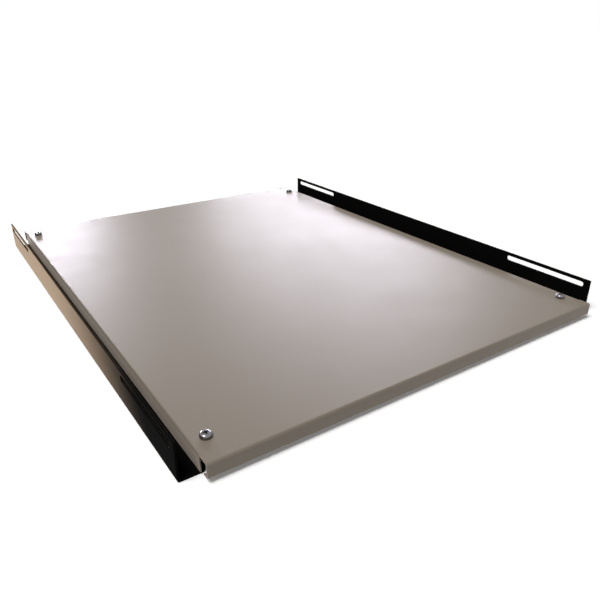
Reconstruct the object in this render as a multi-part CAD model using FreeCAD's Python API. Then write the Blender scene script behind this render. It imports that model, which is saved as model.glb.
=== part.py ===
# Fixed rack shelf: a folded sheet-steel tray screwed onto two folded side brackets.
# The brackets' webs stand above the tray and have long slots for bolts into the rack's rails.
# Millimetres. X runs to the right, Y from front to rear and Z up.
# The origin is at the middle of the footprint, level with the brackets' undersides.
import FreeCAD
import Part
import math
import os

from FreeCAD import Vector

# Tray
tray_width = 413.0
tray_depth = 550.0
tray_sheet = 1.0
end_flange_height = 12.3      # front and rear flanges, from the top face to their undersides
return_depth = 6.0            # lip folded inwards under each of them, from the flange's outer face
notch_clearance = 5.4         # from the lip to the end of a side flange, along the depth
floor_gap = 0.25              # from a side flange's lower edge to the bracket's floor
relief_width = 0.3            # slit that frees each end of a side flange
relief_past_bend = 0.3        # how far that slit runs past the bend into the top

# Brackets
bracket_sheet = 1.5
seat_height = 15.0            # from the underside up to the seat that carries the tray
seat_width = 18.0             # seat flange, from the leg's outer face to its free edge
web_standoff = 15.75          # from the tray's side face out to the web's outer face
web_rise = 16.0               # web's top edge above the tray's top face
leg_clearance = 1.8           # between a tray side flange and the leg beside it
front_clearance = 6.0         # from the front lip back to the bracket's front end
rear_clearance = 8.5          # from the rear lip forward to the bracket's rear end
bend_radius = 0.9             # inside radius of every fold, in the tray too

# Slots in the webs
slot_length = 93.0
slot_width = 5.3
slot_top_land = 3.5           # web left above a slot
slot_end_land = 6.8           # web left between a slot and the web's end

# Screws, M5 with a pan head and a cross recess
screw_diameter = 5.0
screw_length = 8.0            # under the head
screw_tip_chamfer = 0.6
head_diameter = 9.0
head_height = 3.8
head_shoulder = 2.0           # radius between the head's side and its crown
dome_radius = 16.0            # radius of the gently domed crown
shoulder_bands = 4            # conical bands that the shoulder is turned in
dome_bands = 2                # and the crown
recess_span = 4.8             # cross recess at the crown, from arm end to arm end
recess_wing = 1.3             # width of an arm at the crown
recess_floor_span = 2.9
recess_floor_wing = 0.7
recess_depth = 2.4
screw_land = 13.5             # from each end of a bracket to the screw nearest to it
hole_clearance = 0.25         # between a screw and the tray's hole, all round

# Clinch nuts pressed up into the seats
thread_clearance = 0.05       # between a screw's thread and its nut, all round
nut_wall = 0.65               # thickness of the nut's shank
nut_lip = 1.2                 # nut's flange beyond its shank
nut_flange_height = 2.0
nut_fit = 0.03                # between the shank and the hole in the seat, all round
nut_sink = 0.1                # top of the shank below the seat
nut_chamfer = 0.3             # at both ends of the thread

# Cutters reach this far beyond what they cut
cut_margin = 2.0

# Levels and lines that follow from the sizes above
tray_top = seat_height + tray_sheet
web_top = tray_top + web_rise
end_flange_foot = tray_top - end_flange_height
side_flange_foot = bracket_sheet + floor_gap
tray_side = tray_width / 2
tray_end = tray_depth / 2
fold_strip = bend_radius + tray_sheet + relief_past_bend
side_flange_end = tray_end - return_depth - notch_clearance
bracket_front = -tray_end + return_depth + front_clearance
bracket_rear = tray_end - return_depth - rear_clearance
leg_outer_inset = tray_sheet + leg_clearance
leg_inner_inset = leg_outer_inset + bracket_sheet
seat_edge_inset = leg_outer_inset + seat_width
screw_inset = leg_outer_inset + seat_width / 2
front_screw_line = bracket_front + screw_land
rear_screw_line = bracket_rear - screw_land
nut_bore_radius = screw_diameter / 2
thread_radius = nut_bore_radius - thread_clearance
nut_shank_radius = nut_bore_radius + nut_wall


def right_normals(corners):
    """Unit normals on the right of each run of a line of corners."""
    runs = [(end - start).normalize() for start, end in zip(corners, corners[1:])]
    return [Vector(run.y, -run.x, 0) for run in runs]


def offset_corners(corners, distance):
    """The line of corners moved to its right by a distance."""
    normals = right_normals(corners)
    mitres = [(a + b) / (1 + a.dot(b)) for a, b in zip(normals, normals[1:])]
    shifts = [normals[0]] + mitres + [normals[-1]]
    return [corner + shift * distance for corner, shift in zip(corners, shifts)]


def fold_radii(corners, sheet):
    """Radii at the inner corners of a line and of the face one sheet to its right."""
    normals = right_normals(corners)
    right_turns = [a.cross(b).z < 0 for a, b in zip(normals, normals[1:])]
    own = [bend_radius + sheet if right else bend_radius for right in right_turns]
    other = [bend_radius if right else bend_radius + sheet for right in right_turns]
    return own, other


def rounded_edges(corners, radii, place):
    """Straight runs joined by quarter-circle arcs; place puts a profile point in space."""
    edges = []
    start = corners[0]
    for before, corner, after, radius in zip(corners, corners[1:], corners[2:], radii):
        back = (before - corner).normalize()
        ahead = (after - corner).normalize()
        arc_start = corner + back * radius
        arc_end = corner + ahead * radius
        arc_middle = corner + (back + ahead) * radius * (1 - math.sqrt(0.5))
        edges.append(Part.makeLine(place(start), place(arc_start)))
        edges.append(Part.Arc(place(arc_start), place(arc_middle), place(arc_end)).toShape())
        start = arc_end
    edges.append(Part.makeLine(place(start), place(corners[-1])))
    return edges


def folded_sheet(points, sheet, place, sweep):
    """A sheet folded square along a line of profile points, lying on the line's right, and swept."""
    near_corners = [Vector(a, b, 0) for a, b in points]
    far_corners = offset_corners(near_corners, sheet)
    near_radii, far_radii = fold_radii(near_corners, sheet)
    edges = rounded_edges(near_corners, near_radii, place)
    edges += rounded_edges(far_corners, far_radii, place)
    edges += [Part.makeLine(place(near_corners[end]), place(far_corners[end])) for end in (0, -1)]
    outline = Part.Wire(Part.sortEdges(edges)[0])
    return Part.Face(outline).extrude(sweep)


def side_plane(side, y):
    """Placing for profiles drawn as (inset from the tray's side face, height) across the depth."""
    return lambda point: Vector(side * (tray_side - point.x), y, point.y)


def block(x_range, y_range, z_range):
    """A rectangular cutter between pairs of limits, in either order."""
    lows = [min(pair) for pair in (x_range, y_range, z_range)]
    sizes = [abs(pair[1] - pair[0]) for pair in (x_range, y_range, z_range)]
    return Part.makeBox(*sizes, Vector(*lows))


def screw_spots(side):
    """Front and rear screw axes on one side, in plan."""
    x = side * (tray_side - screw_inset)
    return [(x, front_screw_line), (x, rear_screw_line)]


def side_flange(side):
    """Fold and upright of one tray side, with the strip of top that leads into it."""
    section = [(0, side_flange_foot), (0, tray_top), (fold_strip, tray_top)]
    sweep = Vector(0, 2 * side_flange_end, 0)
    return folded_sheet(section, tray_sheet, side_plane(side, -side_flange_end), sweep)


def side_strip(side):
    """What one side flange and the slits at its ends take from the flat top."""
    reach = side_flange_end + relief_width
    x_range = (side * (tray_side - fold_strip), side * (tray_side + cut_margin))
    z_range = (tray_top - tray_sheet - cut_margin, tray_top + cut_margin)
    return block(x_range, (-reach, reach), z_range)


def build_tray():
    """Pan folded down at all four edges, with lips at front and rear and open corners."""
    lip_edge = tray_end - return_depth
    section = [(-lip_edge, end_flange_foot), (-tray_end, end_flange_foot), (-tray_end, tray_top),
               (tray_end, tray_top), (tray_end, end_flange_foot), (lip_edge, end_flange_foot)]
    tray = folded_sheet(section, tray_sheet, lambda point: Vector(-tray_side, point.x, point.y),
                        Vector(tray_width, 0, 0))
    hole_radius = screw_diameter / 2 + hole_clearance
    for side in (-1, 1):
        tray = tray.cut(side_strip(side)).fuse(side_flange(side))
        for x, y in screw_spots(side):
            foot = Vector(x, y, seat_height - cut_margin)
            tray = tray.cut(Part.makeCylinder(hole_radius, tray_sheet + 2 * cut_margin, foot))
    return tray.removeSplitter()


def slot_cutter(side, y_start):
    """A slot with round ends through one web, running towards the rear from y_start."""
    radius = slot_width / 2
    middle = web_top - slot_top_land - radius
    near = y_start + radius
    far = y_start + slot_length - radius
    inset = -web_standoff - cut_margin
    place = side_plane(side, 0)

    def at(y, z):
        return place(Vector(inset, z, 0)) + Vector(0, y, 0)

    top = middle + radius
    foot = middle - radius
    edges = [Part.makeLine(at(near, top), at(far, top)),
             Part.Arc(at(far, top), at(far + radius, middle), at(far, foot)).toShape(),
             Part.makeLine(at(far, foot), at(near, foot)),
             Part.Arc(at(near, foot), at(near - radius, middle), at(near, top)).toShape()]
    through = Vector(-side * (bracket_sheet + 2 * cut_margin), 0, 0)
    return Part.Face(Part.Wire(edges)).extrude(through)


def build_bracket(side):
    """Web, floor, leg and seat folded from one strip, with slots and holes for the nuts."""
    seat_foot = seat_height - bracket_sheet
    section = [(seat_edge_inset, seat_foot), (leg_inner_inset, seat_foot), (leg_inner_inset, 0),
               (-web_standoff, 0), (-web_standoff, web_top)]
    sweep = Vector(0, bracket_rear - bracket_front, 0)
    bracket = folded_sheet(section, bracket_sheet, side_plane(side, bracket_front), sweep)
    for y_start in (bracket_front + slot_end_land, bracket_rear - slot_end_land - slot_length):
        bracket = bracket.cut(slot_cutter(side, y_start))
    hole_radius = nut_shank_radius + nut_fit
    for x, y in screw_spots(side):
        foot = Vector(x, y, seat_foot - cut_margin)
        bracket = bracket.cut(Part.makeCylinder(hole_radius, bracket_sheet + 2 * cut_margin, foot))
    return bracket


def flat_face(corners):
    """Flat face inside a closed line of corners."""
    return Part.Face(Part.makePolygon(corners + corners[:1]))


def revolved(points, x, y, z):
    """Solid turned about a vertical axis from a closed outline of (radius, height) corners."""
    outline = [Vector(x + radius, y, z + height) for radius, height in points]
    return flat_face(outline).revolve(Vector(x, y, z), Vector(0, 0, 1), 360)


def cross_outline(span, wing, z):
    """Corners of the cross recess at one height, arm by arm."""
    half_span = span / 2
    half_wing = wing / 2
    arm = [Vector(half_wing, half_wing, z), Vector(half_wing, half_span, z), Vector(-half_wing, half_span, z)]
    turn = FreeCAD.Rotation(Vector(0, 0, 1), 90)
    corners = []
    for _ in range(4):
        corners += arm
        arm = [turn.multVec(corner) for corner in arm]
    return corners


def tapered_prism(lower, upper):
    """Solid with flat sides between two outlines that have matching corners."""
    faces = [flat_face(lower), flat_face(upper)]
    lower_next = lower[1:] + lower[:1]
    upper_next = upper[1:] + upper[:1]
    faces += [flat_face(list(corners)) for corners in zip(lower, lower_next, upper_next, upper)]
    return Part.Solid(Part.Shell(faces))


def turned_arc(centre, radius, start, end, bands):
    """Arc about a (radius, height) centre, turned in straight bands between two angles from level."""
    angles = [start + (end - start) * band / bands for band in range(bands + 1)]
    return [(centre[0] + radius * math.cos(angle), centre[1] + radius * math.sin(angle)) for angle in angles]


def screw_outline():
    """Half section of a screw from tip to crown, as (radius, height) from under its head."""
    head_radius = head_diameter / 2
    shoulder_inset = head_radius - head_shoulder
    dome_foot = head_height - dome_radius
    dome_edge = math.acos(shoulder_inset / (dome_radius - head_shoulder))
    side_top = dome_foot + (dome_radius - head_shoulder) * math.sin(dome_edge)
    shoulder = turned_arc((shoulder_inset, side_top), head_shoulder, 0, dome_edge, shoulder_bands)
    dome = turned_arc((0, dome_foot), dome_radius, dome_edge, math.pi / 2, dome_bands)
    shank = [(0, -screw_length), (thread_radius - screw_tip_chamfer, -screw_length),
             (thread_radius, screw_tip_chamfer - screw_length), (thread_radius, 0)]
    return shank + [(head_radius, 0)] + shoulder + dome[1:-1] + [(0, head_height)]


def build_screw(x, y):
    """Pan-head screw seated on the tray; its thread is a plain shank here."""
    recess_floor = cross_outline(recess_floor_span, recess_floor_wing, head_height - recess_depth)
    recess_mouth = cross_outline(recess_span, recess_wing, head_height)
    screw = revolved(screw_outline(), 0, 0, 0).cut(tapered_prism(recess_floor, recess_mouth))
    screw.translate(Vector(x, y, tray_top))
    return screw


def build_nut(x, y):
    """Clinch nut with its shank in the seat's hole and its flange under the seat."""
    flange_radius = nut_shank_radius + nut_lip
    top = bracket_sheet - nut_sink
    bore = nut_bore_radius
    mouth = bore + nut_chamfer
    outline = [(mouth, top), (nut_shank_radius, top), (nut_shank_radius, 0), (flange_radius, 0),
               (flange_radius, -nut_flange_height), (mouth, -nut_flange_height),
               (bore, nut_chamfer - nut_flange_height), (bore, top - nut_chamfer)]
    return revolved(outline, x, y, seat_height - bracket_sheet)


def build_parts():
    """Every piece of the shelf by name."""
    parts = {"tray": build_tray()}
    for side_name, side in (("left", -1), ("right", 1)):
        parts[side_name + "_bracket"] = build_bracket(side)
        for end_name, (x, y) in zip(("front", "rear"), screw_spots(side)):
            spot = end_name + "_" + side_name
            parts[spot + "_screw"] = build_screw(x, y)
            parts[spot + "_nut"] = build_nut(x, y)
    return parts


os.makedirs("parts", exist_ok=True)
for name, shape in build_parts().items():
    shape.exportStep("parts/" + name + ".step")
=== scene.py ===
# Looks of the rack shelf: painted folded sheets, plated screws and nuts, a pale floor and soft studio light.
# Metres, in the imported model's frame: X to the right, Y from front to rear and Z up.
import math

import bmesh
import bpy
from mathutils import Matrix, Vector


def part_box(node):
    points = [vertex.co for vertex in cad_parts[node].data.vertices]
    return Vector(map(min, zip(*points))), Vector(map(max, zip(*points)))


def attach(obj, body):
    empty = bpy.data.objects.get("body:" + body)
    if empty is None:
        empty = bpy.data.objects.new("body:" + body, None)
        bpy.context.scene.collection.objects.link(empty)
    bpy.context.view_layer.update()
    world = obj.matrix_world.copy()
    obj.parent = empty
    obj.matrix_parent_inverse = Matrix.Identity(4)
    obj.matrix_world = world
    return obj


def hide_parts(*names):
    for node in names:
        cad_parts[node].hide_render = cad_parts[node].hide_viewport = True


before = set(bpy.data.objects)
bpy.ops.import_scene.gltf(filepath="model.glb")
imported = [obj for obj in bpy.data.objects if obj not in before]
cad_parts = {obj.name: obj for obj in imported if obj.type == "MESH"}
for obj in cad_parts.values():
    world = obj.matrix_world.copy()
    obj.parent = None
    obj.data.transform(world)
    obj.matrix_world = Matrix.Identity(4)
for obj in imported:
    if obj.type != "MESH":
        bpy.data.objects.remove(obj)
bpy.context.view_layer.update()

# Folded sheets
TRAY_SHEET = 0.001
BRACKET_SHEET = 0.0015
BEND = 0.0009                   # inside radius of every fold
BEND_STEPS = 10                 # facets round a fold
END_FLANGE = 0.0123             # tray's front and rear flanges, from the top face down
RETURN_LIP = 0.006              # lip folded inwards under each of them
NOTCH = 0.0054                  # from the lip to the end of a side flange
SLIT_WIDTH = 0.0003             # slit that frees each end of a side flange
SLIT_PAST_BEND = 0.0003         # reach of that slit beyond the fold, into the top
LEG_CLEARANCE = 0.0018          # between a tray side flange and the bracket's leg
SLOT_LENGTH = 0.093
SLOT_WIDTH = 0.0053
SLOT_TOP_LAND = 0.0035          # web left above a slot
SLOT_END_LAND = 0.0068          # web left between a slot and the web's end
SLOT_STEPS = 24                 # sides of a slot's round end
HOLE_STEPS = 48                 # sides of a round hole
TRAY_HOLE = 0.00275             # radius of the tray's holes for the screws
SEAT_HOLE = 0.00318             # radius of the brackets' holes for the nuts
EDGE_ROUND = 0.00014            # paint rounds every cut edge by this much
ROUND_STEPS = 2                 # facets across a rounded edge
ROUND_PROFILE = 0.5             # a rounded edge is a circular arc
SHARP_ANGLE = math.radians(50)  # folds in the mesh sharper than this are cut edges
FLAT_FACE_WEIGHT = 100          # shading follows the largest face at each corner
CUT_MARGIN = 0.002              # cutters reach this far beyond what they cut
WELD_REACH = 0.000001           # points of a cut that lie closer than this become one
JOIN_REACH = 0.000003           # and so do points of neighbouring strips or rings

# Screws and nuts
TURN_STEPS = 64                 # sides of a turned surface
HEAD_HEIGHT = 0.0038
HEAD_SHOULDER = 0.002           # radius between a head's side and its crown
HEAD_DOME = 0.016               # radius of the gently domed crown
SHOULDER_STEPS = 10
DOME_STEPS = 5
SHANK_RADIUS = 0.00245
THREAD_PITCH = 0.0008
THREAD_DEPTH = 0.00046
THREAD_FLAT = 0.1               # flat crest and flat root, each as a share of the pitch
THREAD_STEPS = 10               # rings for each turn of the thread
THREAD_RUNOUT = 0.0009          # plain shank under the head
TIP_CHAMFER = 0.0006
RECESS_SPAN = 0.0048            # cross recess at the crown, over two arms
RECESS_WING = 0.0013            # width of an arm there
RECESS_FLOOR_SPAN = 0.0029      # and both at the recess floor
RECESS_FLOOR_WING = 0.0007
RECESS_DEPTH = 0.0024
RECESS_MARGIN = 0.00006         # recess cutter's reach above the crown
METAL_ROUND = 0.00006           # rounding of the nuts' edges
NUT_BORE = 0.0025               # radius
NUT_SHANK = 0.00315             # radius
NUT_FLANGE_HEIGHT = 0.002
NUT_CHAMFER = 0.0003

# Camera, placed as in the photograph
CAMERA_PLACE = (-0.31678, -0.54126, 0.26219)
CAMERA_YAW = math.radians(34.08)
CAMERA_PITCH = math.radians(25.25)
CAMERA_LENS = 34.91             # millimetres, on a sensor 36 mm wide

# Paints
NOISE_LOW = 0.3                 # nearly all values of a noise lie between these two
NOISE_HIGH = 0.7
SHEEN_ROUGHNESS = 0.4

tray_low, tray_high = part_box("tray")
bracket_low, bracket_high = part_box("right_bracket")


def link(name, data):
    """A new object in the scene, from a mesh, a lamp or a camera."""
    made = bpy.data.objects.new(name, data)
    bpy.context.scene.collection.objects.link(made)
    return made


def object_from(name, bm):
    """A new object from a finished bmesh, which is freed."""
    mesh = bpy.data.meshes.new(name)
    bm.to_mesh(mesh)
    bm.free()
    return link(name, mesh)


def rounded_line(corners, radii):
    """Points along straight runs joined by quarter-circle arcs, in a plane."""
    corners = [Vector(corner) for corner in corners]
    points = [corners[0]]
    for before, corner, after, radius in zip(corners, corners[1:], corners[2:], radii):
        back = (before - corner).normalized()
        ahead = (after - corner).normalized()
        centre = corner + (back + ahead) * radius
        for step in range(BEND_STEPS + 1):
            angle = math.pi / 2 * step / BEND_STEPS
            points.append(centre - (ahead * math.cos(angle) + back * math.sin(angle)) * radius)
    points.append(corners[-1])
    return points


def add_strip(bm, near, far):
    """Quads between two lines that have matching points."""
    near_verts = [bm.verts.new(point) for point in near]
    far_verts = [bm.verts.new(point) for point in far]
    for i in range(len(near) - 1):
        bm.faces.new((near_verts[i], near_verts[i + 1], far_verts[i + 1], far_verts[i]))


def add_prism(bm, lower, upper):
    """Closed solid between two outlines that have matching corners."""
    lower_verts = [bm.verts.new(point) for point in lower]
    upper_verts = [bm.verts.new(point) for point in upper]
    bm.faces.new(lower_verts)
    bm.faces.new(upper_verts)
    for i in range(len(lower)):
        bm.faces.new((lower_verts[i - 1], lower_verts[i], upper_verts[i], upper_verts[i - 1]))


def circle(radius, steps):
    """Points round the origin, in a plane."""
    angles = [2 * math.pi * step / steps for step in range(steps)]
    return [Vector((radius * math.cos(angle), radius * math.sin(angle))) for angle in angles]


def stadium(length, width, steps):
    """Slot outline round the origin, along the first of two axes."""
    radius = width / 2
    reach = length / 2 - radius
    points = []
    for end in (1, -1):
        for step in range(steps + 1):
            angle = math.pi * (step / steps - 0.5)
            points.append(Vector((end * (reach + radius * math.cos(angle)), end * radius * math.sin(angle))))
    return points


def bake(piece):
    """Replaces a piece's mesh by what its modifiers make of it."""
    graph = bpy.context.evaluated_depsgraph_get()
    mesh = bpy.data.meshes.new_from_object(piece.evaluated_get(graph))
    piece.modifiers.clear()
    piece.data = mesh


def thicken(piece, sheet):
    """Gives a folded surface its sheet's thickness, on the back of its faces."""
    solid = piece.modifiers.new("sheet", "SOLIDIFY")
    solid.thickness = sheet
    solid.offset = -1
    solid.use_even_offset = True
    bake(piece)


def cut(piece, cutters):
    """Takes closed solids away from a piece; the cutters' bmesh is freed."""
    bmesh.ops.recalc_face_normals(cutters, faces=cutters.faces)
    tool = object_from("cutters", cutters)
    hole = piece.modifiers.new("cut", "BOOLEAN")
    hole.operation = "DIFFERENCE"
    hole.solver = "EXACT"
    hole.object = tool
    weld = piece.modifiers.new("weld", "WELD")
    weld.merge_threshold = WELD_REACH
    bake(piece)
    bpy.data.objects.remove(tool)


def round_edges(piece, width):
    """Rounds the outer cut edges."""
    bm = bmesh.new()
    bm.from_mesh(piece.data)
    edges = [edge for edge in bm.edges if edge.is_convex and edge.calc_face_angle(0) > SHARP_ANGLE]
    bmesh.ops.bevel(bm, geom=edges, offset=width, offset_type="OFFSET", segments=ROUND_STEPS,
                    profile=ROUND_PROFILE, affect="EDGES", clamp_overlap=False)
    bm.to_mesh(piece.data)
    bm.free()


def shade(piece):
    """Smooth folds and rounded edges beside flat faces and sharp corners that stay so."""
    piece.data.shade_smooth()
    piece.data.set_sharp_from_angle(angle=SHARP_ANGLE)
    weighted = piece.modifiers.new("shading", "WEIGHTED_NORMAL")
    weighted.keep_sharp = True
    weighted.weight = FLAT_FACE_WEIGHT


def spots(kind):
    """Node names of the four screws or nuts."""
    return [end + "_" + side + "_" + kind for end in ("front", "rear") for side in ("left", "right")]


def axis_of(node):
    """Place of a screw's or nut's axis, in plan."""
    low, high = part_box(node)
    return (low.xy + high.xy) / 2


def outward_top(bm):
    """Turns all faces of a connected surface so that its largest face looks up."""
    bmesh.ops.recalc_face_normals(bm, faces=bm.faces)
    largest = max(bm.faces, key=lambda face: face.calc_area())
    if largest.normal.z < 0:
        bmesh.ops.reverse_faces(bm, faces=bm.faces)


def hole_cutters(nodes, radius, low, high):
    """Upright cylinders through a sheet, on the axes of some nodes."""
    bm = bmesh.new()
    for node in nodes:
        outline = [axis_of(node) + point for point in circle(radius, HOLE_STEPS)]
        add_prism(bm, [(x, y, low - CUT_MARGIN) for x, y in outline],
                  [(x, y, high + CUT_MARGIN) for x, y in outline])
    return bm


def build_tray():
    """Tray: top with flanges and lips at front and rear, side flanges between slits, and open corners."""
    outer = BEND + TRAY_SHEET
    side, end, top = tray_high
    foot = top - END_FLANGE
    lip_edge = end - RETURN_LIP
    flange_end = lip_edge - NOTCH
    slit_end = flange_end + SLIT_WIDTH
    inner = side - outer - SLIT_PAST_BEND
    front = rounded_line([(-lip_edge, foot), (-end, foot), (-end, top), (-slit_end, top)], [outer, outer])
    rear = [(-y, z) for y, z in reversed(front)]
    fold = rounded_line([(inner, top), (side, top), (side, tray_low.z)], [outer])
    section = front + [(-flange_end, top), (flange_end, top)] + rear
    bm = bmesh.new()
    add_strip(bm, [(-inner, y, z) for y, z in section], [(inner, y, z) for y, z in section])
    for hand in (-1, 1):
        add_strip(bm, [(hand * x, -flange_end, z) for x, z in fold],
                  [(hand * x, flange_end, z) for x, z in fold])
        for line in (front, rear):
            add_strip(bm, [(hand * inner, y, z) for y, z in line], [(hand * side, y, z) for y, z in line])
    bmesh.ops.remove_doubles(bm, verts=bm.verts, dist=JOIN_REACH)
    outward_top(bm)
    tray = object_from("painted_tray", bm)
    thicken(tray, TRAY_SHEET)
    cut(tray, hole_cutters(spots("screw"), TRAY_HOLE, top - TRAY_SHEET, top))
    round_edges(tray, EDGE_ROUND)
    return tray


def slot_cutters(hand):
    """The two slots of one web."""
    near = bracket_high.x - BRACKET_SHEET - CUT_MARGIN
    far = bracket_high.x + CUT_MARGIN
    height = bracket_high.z - SLOT_TOP_LAND - SLOT_WIDTH / 2
    inset = SLOT_END_LAND + SLOT_LENGTH / 2
    bm = bmesh.new()
    for middle in (bracket_low.y + inset, bracket_high.y - inset):
        outline = [(middle + y, height + z) for y, z in stadium(SLOT_LENGTH, SLOT_WIDTH, SLOT_STEPS)]
        add_prism(bm, [(hand * near, y, z) for y, z in outline], [(hand * far, y, z) for y, z in outline])
    return bm


def build_bracket(side_name, hand):
    """Bracket: seat, leg, floor and slotted web folded from one strip."""
    outer = BEND + BRACKET_SHEET
    seat_top = tray_high.z - TRAY_SHEET
    seat_foot = seat_top - BRACKET_SHEET
    leg = tray_high.x - TRAY_SHEET - LEG_CLEARANCE - BRACKET_SHEET
    web = bracket_high.x
    corners = [(bracket_low.x, seat_foot), (leg, seat_foot), (leg, 0), (web, 0), (web, bracket_high.z)]
    section = rounded_line(corners, [BEND, outer, outer])
    bm = bmesh.new()
    add_strip(bm, [(hand * x, bracket_low.y, z) for x, z in section],
              [(hand * x, bracket_high.y, z) for x, z in section])
    bmesh.ops.recalc_face_normals(bm, faces=bm.faces)
    floor = min(bm.faces, key=lambda face: face.calc_center_median().z)
    if floor.normal.z > 0:
        bmesh.ops.reverse_faces(bm, faces=bm.faces)
    bracket = object_from("painted_" + side_name + "_bracket", bm)
    thicken(bracket, BRACKET_SHEET)
    cut(bracket, slot_cutters(hand))
    nuts = [node for node in spots("nut") if side_name in node]
    cut(bracket, hole_cutters(nuts, SEAT_HOLE, seat_foot, seat_top))
    round_edges(bracket, EDGE_ROUND)
    return bracket


def add_rings(bm, rings):
    """Turned surface through rings of points, open at both ends; gives back each ring's corners."""
    verts = [[bm.verts.new(point) for point in points] for points in rings]
    for low, high in zip(verts, verts[1:]):
        for i in range(len(low)):
            bm.faces.new((low[i - 1], low[i], high[i], high[i - 1]))
    return verts


def ring(radius, height):
    """Level ring of points round the Z axis."""
    return [(x, y, height) for x, y in circle(radius, TURN_STEPS)]


def thread_ring(height, tip):
    """Level ring through a screw thread: its radius follows the helix round."""
    points = []
    limit = SHANK_RADIUS - TIP_CHAMFER + (height - tip)
    for step in range(TURN_STEPS):
        angle = 2 * math.pi * step / TURN_STEPS
        turn = (height / THREAD_PITCH - step / TURN_STEPS) % 1
        flank = abs(2 * turn - 1)
        depth = THREAD_DEPTH * min(1, max(0, (flank - THREAD_FLAT) / (1 - 2 * THREAD_FLAT)))
        radius = min(SHANK_RADIUS - depth, limit)
        points.append((radius * math.cos(angle), radius * math.sin(angle), height))
    return points


def arc_rings(inset, height, radius, start, end, steps):
    """Rings along a turned arc, after its first point, between two angles from level."""
    angles = [start + (end - start) * (step + 1) / steps for step in range(steps)]
    return [ring(inset + radius * math.cos(angle), height + radius * math.sin(angle)) for angle in angles]


def screw_rings(head_radius, tip):
    """Rings of a screw from its crown to its tip, about the point under its head."""
    shoulder_inset = head_radius - HEAD_SHOULDER
    dome_centre = HEAD_HEIGHT - HEAD_DOME
    dome_edge = math.acos(shoulder_inset / (HEAD_DOME - HEAD_SHOULDER))
    side_top = dome_centre + (HEAD_DOME - HEAD_SHOULDER) * math.sin(dome_edge)
    rings = arc_rings(0, dome_centre, HEAD_DOME, math.pi / 2, dome_edge, DOME_STEPS)
    rings += arc_rings(shoulder_inset, side_top, HEAD_SHOULDER, dome_edge, 0, SHOULDER_STEPS)
    rings += [ring(head_radius, 0), ring(SHANK_RADIUS, 0), ring(SHANK_RADIUS, -THREAD_RUNOUT)]
    rise = THREAD_PITCH / THREAD_STEPS
    count = int((-THREAD_RUNOUT - tip) / rise)
    rings += [thread_ring(tip + rise * step, tip) for step in range(count - 1, -1, -1)]
    return rings


def cross_outline(span, wing, height):
    """Corners of the cross recess at one height, arm by arm."""
    arm = [Vector((wing / 2, wing / 2, height)), Vector((wing / 2, span / 2, height)),
           Vector((-wing / 2, span / 2, height))]
    quarter = Matrix.Rotation(math.pi / 2, 3, "Z")
    corners = []
    for _ in range(4):
        corners += arm
        arm = [quarter @ corner for corner in arm]
    return corners


def recess_cutter():
    """Tapered cross from the recess floor to a little above the crown."""
    rise = RECESS_DEPTH + RECESS_MARGIN
    growth = rise / RECESS_DEPTH
    span = RECESS_FLOOR_SPAN + (RECESS_SPAN - RECESS_FLOOR_SPAN) * growth
    wing = RECESS_FLOOR_WING + (RECESS_WING - RECESS_FLOOR_WING) * growth
    floor = HEAD_HEIGHT - RECESS_DEPTH
    bm = bmesh.new()
    add_prism(bm, cross_outline(RECESS_FLOOR_SPAN, RECESS_FLOOR_WING, floor),
              cross_outline(span, wing, floor + rise))
    return bm


def build_screw(node):
    """Pan-head screw with a cross recess and a cut thread."""
    low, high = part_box(node)
    seat = tray_high.z
    bm = bmesh.new()
    verts = add_rings(bm, screw_rings((high.x - low.x) / 2, low.z - seat))
    bm.faces.new(verts[0])
    bm.faces.new(verts[-1])
    bmesh.ops.recalc_face_normals(bm, faces=bm.faces)
    screw = object_from("plated_" + node, bm)
    cut(screw, recess_cutter())
    screw.data.transform(Matrix.Translation((*axis_of(node), seat)))
    return screw


def build_nut(node):
    """Clinch nut: shank up in the seat, flange under it."""
    low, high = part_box(node)
    flange = (high.x - low.x) / 2
    shoulder = low.z + NUT_FLANGE_HEIGHT
    mouth = NUT_BORE + NUT_CHAMFER
    outline = [(mouth, high.z), (NUT_SHANK, high.z), (NUT_SHANK, shoulder), (flange, shoulder),
               (flange, low.z), (mouth, low.z),
               (NUT_BORE, low.z + NUT_CHAMFER), (NUT_BORE, high.z - NUT_CHAMFER)]
    bm = bmesh.new()
    add_rings(bm, [ring(radius, height) for radius, height in outline + outline[:1]])
    bmesh.ops.remove_doubles(bm, verts=bm.verts, dist=JOIN_REACH)
    bmesh.ops.recalc_face_normals(bm, faces=bm.faces)
    nut = object_from("plated_" + node, bm)
    round_edges(nut, METAL_ROUND)
    nut.data.transform(Matrix.Translation((*axis_of(node), 0)))
    return nut


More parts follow.
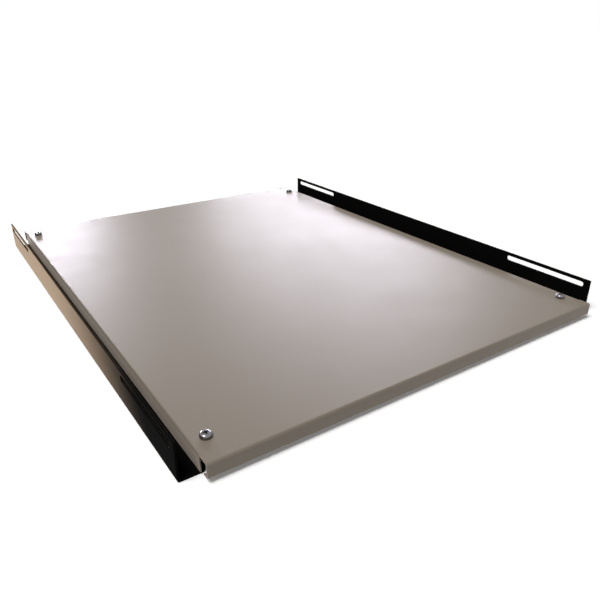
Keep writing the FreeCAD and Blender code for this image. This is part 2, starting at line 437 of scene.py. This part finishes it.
class Paint:
    """A material under construction, with its nodes and links at hand."""

    def __init__(self, name):
        self.material = bpy.data.materials.new(name)
        self.material.use_nodes = True
        self.nodes = self.material.node_tree.nodes
        self.links = self.material.node_tree.links
        self.shader = self.nodes["Principled BSDF"]
        self.place = self.nodes.new("ShaderNodeTexCoord").outputs["Object"]

    def noise(self, size, detail):
        """Noise whose lumps are about this size, from 0 to 1."""
        node = self.nodes.new("ShaderNodeTexNoise")
        node.inputs["Scale"].default_value = 1 / size
        node.inputs["Detail"].default_value = detail
        self.links.new(self.place, node.inputs["Vector"])
        return node.outputs["Fac"]

    def colours(self, factor, dark, light):
        """Base colour between two shades."""
        node = self.nodes.new("ShaderNodeMix")
        node.data_type = "RGBA"
        node.inputs["A"].default_value = (*dark, 1)
        node.inputs["B"].default_value = (*light, 1)
        self.links.new(factor, node.inputs["Factor"])
        self.links.new(node.outputs["Result"], self.shader.inputs["Base Color"])

    def roughness(self, factor, low, high):
        """Roughness between two values."""
        node = self.nodes.new("ShaderNodeMapRange")
        node.inputs["From Min"].default_value = NOISE_LOW
        node.inputs["From Max"].default_value = NOISE_HIGH
        node.inputs["To Min"].default_value = low
        node.inputs["To Max"].default_value = high
        self.links.new(factor, node.inputs["Value"])
        self.links.new(node.outputs["Result"], self.shader.inputs["Roughness"])

    def turned_away(self, upward):
        """How far the surface turns from the eye, from 0 to 1, and more by upward where it looks up."""
        normal = self.nodes.new("ShaderNodeSeparateXYZ")
        self.links.new(self.nodes.new("ShaderNodeNewGeometry").outputs["Normal"], normal.inputs["Vector"])
        turned = self.nodes.new("ShaderNodeMath")
        turned.operation = "MULTIPLY_ADD"
        turned.inputs[1].default_value = upward
        self.links.new(normal.outputs["Z"], turned.inputs[0])
        self.links.new(self.nodes.new("ShaderNodeLayerWeight").outputs["Facing"], turned.inputs[2])
        return turned.outputs["Value"]

    def painted_sheen(self, start, full, most, tint, upward=0.0):
        """Painted sheen in a tint that grows as the surface turns from the eye, sooner by upward where it
        looks up; it stands in for reflection and light.
        """
        weight = self.nodes.new("ShaderNodeMapRange")
        weight.interpolation_type = "SMOOTHSTEP"
        weight.inputs["From Min"].default_value = start
        weight.inputs["From Max"].default_value = full
        weight.inputs["To Max"].default_value = most
        self.links.new(self.turned_away(upward), weight.inputs["Value"])
        self.links.new(weight.outputs["Result"], self.shader.inputs["Sheen Weight"])
        self.shader.inputs["Sheen Roughness"].default_value = SHEEN_ROUGHNESS
        self.shader.inputs["Sheen Tint"].default_value = (*tint, 1)

    def bump(self, height, depth, strength):
        """Relief of this depth from a height."""
        node = self.nodes.new("ShaderNodeBump")
        node.inputs["Distance"].default_value = depth
        node.inputs["Strength"].default_value = strength
        self.links.new(height, node.inputs["Height"])
        self.links.new(node.outputs["Normal"], self.shader.inputs["Normal"])


def tray_paint():
    """Semi-gloss warm grey powder coat with a fine orange peel, and painted light: a pale sheen at grazing
    angles.
    """
    paint = Paint("grey_powder_coat")
    paint.colours(paint.noise(size=0.09, detail=3), dark=(0.195, 0.161, 0.124), light=(0.21, 0.174, 0.136))
    paint.roughness(paint.noise(size=0.03, detail=4), low=0.43, high=0.47)
    paint.bump(paint.noise(size=0.0024, detail=2), depth=0.00002, strength=0.25)
    paint.shader.inputs["Specular IOR Level"].default_value = 0.3
    # painted light: a pale sheen at grazing angles lightens the side flanges where the webs shade them, and
    # the far part of the top
    paint.painted_sheen(start=0.67, full=0.73, most=0.57, tint=(1.0, 0.86, 0.74))
    return paint.material


def bracket_paint():
    """Gloss black powder coat with a fine orange peel, and a painted reflection: a tan sheen at grazing
    angles.
    """
    paint = Paint("black_powder_coat")
    clouds = paint.noise(size=0.06, detail=3)
    paint.colours(clouds, dark=(0.0040, 0.0039, 0.0038), light=(0.0055, 0.0053, 0.0051))
    paint.roughness(paint.noise(size=0.02, detail=4), low=0.11, high=0.14)
    paint.bump(paint.noise(size=0.0022, detail=2), depth=0.00002, strength=0.1)
    paint.shader.inputs["IOR"].default_value = 1.01
    # painted reflection: a tan sheen, dark where the web faces the eye and rising where it turns away,
    # stands in for a warm reflection; upward paints a highlight along up-facing edges
    paint.painted_sheen(start=0.775, full=0.86, most=0.92, tint=(1.0, 0.74, 0.52), upward=0.33)
    return paint.material


def zinc_plate():
    """Bright zinc plate with faint clouding and handling marks."""
    paint = Paint("bright_zinc")
    paint.colours(paint.noise(size=0.0015, detail=4), dark=(0.165, 0.16, 0.165), light=(0.225, 0.22, 0.225))
    paint.roughness(paint.noise(size=0.0006, detail=3), low=0.18, high=0.26)
    paint.bump(paint.noise(size=0.0004, detail=3), depth=0.00001, strength=0.3)
    paint.shader.inputs["Metallic"].default_value = 1.0
    return paint.material


def dress(piece, nodes, material):
    """Finishes a piece that stands for CAD nodes."""
    shade(piece)
    piece.data.materials.clear()
    piece.data.materials.append(material)
    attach(piece, "root")
    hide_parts(*nodes)


def build_object():
    """Every piece of the shelf, painted or plated."""
    warm_grey = tray_paint()
    black = bracket_paint()
    zinc = zinc_plate()
    dress(build_tray(), ["tray"], warm_grey)
    for side_name, hand in (("left", -1), ("right", 1)):
        dress(build_bracket(side_name, hand), [side_name + "_bracket"], black)
    for node in spots("screw"):
        dress(build_screw(node), [node], zinc)
    for node in spots("nut"):
        dress(build_nut(node), [node], zinc)


# Stage
WHITE = (1, 1, 1, 1)
FLOOR_REACH = 30.0
FLOOR_COLOUR = (0.98, 0.98, 0.98)
FLOOR_LIFT = 0.15               # brings the seen floor up to white without lighting the shelf
WORLD_LIGHT = 0.08              # plain light from all round
KEY_LIGHT = 0.83                # floor's share of light from the key lamp
KEY_SIZE = math.radians(30)     # width of the key lamp in the sky, which softens its shadows
BOX_DISTANCE = 3.0              # from the middle of the floor to each soft box
BOX_TINT = (1.0, 0.965, 1.09)   # colour of the soft boxes' light


def seen_ray(nodes, links):
    """1 for what the camera sees, straight or by way of gloss or glass, and 0 for light."""
    rays = nodes.new("ShaderNodeLightPath")
    either = rays.outputs["Is Camera Ray"]
    for kind in ("Is Glossy Ray", "Is Transmission Ray"):
        larger = nodes.new("ShaderNodeMath")
        larger.operation = "MAXIMUM"
        links.new(either, larger.inputs[0])
        links.new(rays.outputs[kind], larger.inputs[1])
        either = larger.outputs["Value"]
    return either


def build_floor():
    """Wide pale floor under the shelf."""
    bm = bmesh.new()
    bm.faces.new([bm.verts.new((x, y, 0)) for x, y in circle(FLOOR_REACH, TURN_STEPS)])
    floor = object_from("floor", bm)
    material = bpy.data.materials.new("floor")
    material.use_nodes = True
    nodes = material.node_tree.nodes
    links = material.node_tree.links
    shader = nodes["Principled BSDF"]
    shader.inputs["Base Color"].default_value = (*FLOOR_COLOUR, 1)
    shader.inputs["Roughness"].default_value = 1.0
    shader.inputs["Specular IOR Level"].default_value = 0.0
    lift = nodes.new("ShaderNodeMath")
    lift.operation = "MULTIPLY"
    lift.inputs[1].default_value = FLOOR_LIFT
    links.new(seen_ray(nodes, links), lift.inputs[0])
    shader.inputs["Emission Color"].default_value = WHITE
    links.new(lift.outputs["Value"], shader.inputs["Emission Strength"])
    floor.data.materials.append(material)


def build_world():
    """White surroundings to the eye and in reflections, at a plain level as light."""
    world = bpy.data.worlds.new("studio")
    bpy.context.scene.world = world
    world.use_nodes = True
    nodes = world.node_tree.nodes
    links = world.node_tree.links
    light = nodes["Background"]
    light.inputs["Color"].default_value = WHITE
    light.inputs["Strength"].default_value = WORLD_LIGHT
    seen = nodes.new("ShaderNodeBackground")
    seen.inputs["Color"].default_value = WHITE
    choice = nodes.new("ShaderNodeMixShader")
    links.new(seen_ray(nodes, links), choice.inputs["Fac"])
    links.new(light.outputs["Background"], choice.inputs[1])
    links.new(seen.outputs["Background"], choice.inputs[2])
    links.new(choice.outputs["Shader"], nodes["World Output"].inputs["Surface"])


def direction(azimuth, elevation):
    """Unit vector towards a lamp: degrees round from the rear to the right, and degrees above the floor."""
    turn = math.radians(azimuth)
    rise = math.radians(elevation)
    return Vector((math.sin(turn) * math.cos(rise), math.cos(turn) * math.cos(rise), math.sin(rise)))


def add_key_lamp(azimuth, elevation):
    """Soft light from high on one side."""
    toward = direction(azimuth, elevation)
    lamp = bpy.data.lights.new("key", "SUN")
    lamp.energy = KEY_LIGHT * math.pi / toward.z
    lamp.angle = KEY_SIZE
    key = link("key", lamp)
    key.rotation_euler = toward.to_track_quat("Z", "Y").to_euler()


def add_soft_box(name, azimuth, elevation, width, height, brightness, tilt=0.0):
    """Soft box that faces the shelf and shows in gloss alone.

    Its brightness is a multiple of the white floor's, and its tilt in degrees raises its right end.
    """
    toward = direction(azimuth, elevation)
    lamp = bpy.data.lights.new(name, "AREA")
    lamp.shape = "RECTANGLE"
    lamp.size = width
    lamp.size_y = height
    lamp.energy = brightness * math.pi * width * height
    lamp.color = BOX_TINT
    box = link(name, lamp)
    box.location = toward * BOX_DISTANCE
    level = toward.to_track_quat("Z", "Y").to_matrix()
    box.rotation_euler = (level @ Matrix.Rotation(-math.radians(tilt), 3, "Z")).to_euler()
    box.visible_diffuse = False


def add_camera():
    """Camera at the photograph's place."""
    lens = bpy.data.cameras.new("camera")
    lens.lens = CAMERA_LENS
    camera = link("camera", lens)
    camera.location = CAMERA_PLACE
    camera.rotation_euler = (math.pi / 2 - CAMERA_PITCH, 0, -CAMERA_YAW)
    bpy.context.scene.camera = camera


build_object()
build_floor()
build_world()
add_key_lamp(azimuth=-96, elevation=65)
add_soft_box("rear_left_box", azimuth=4.4, elevation=7, width=0.61, height=0.28, brightness=90)
add_soft_box("rear_right_box", azimuth=39.2, elevation=14.7, width=1.84, height=0.45,
             brightness=21.8, tilt=30)
add_camera()
bpy.context.scene.view_settings.view_transform = "Standard"
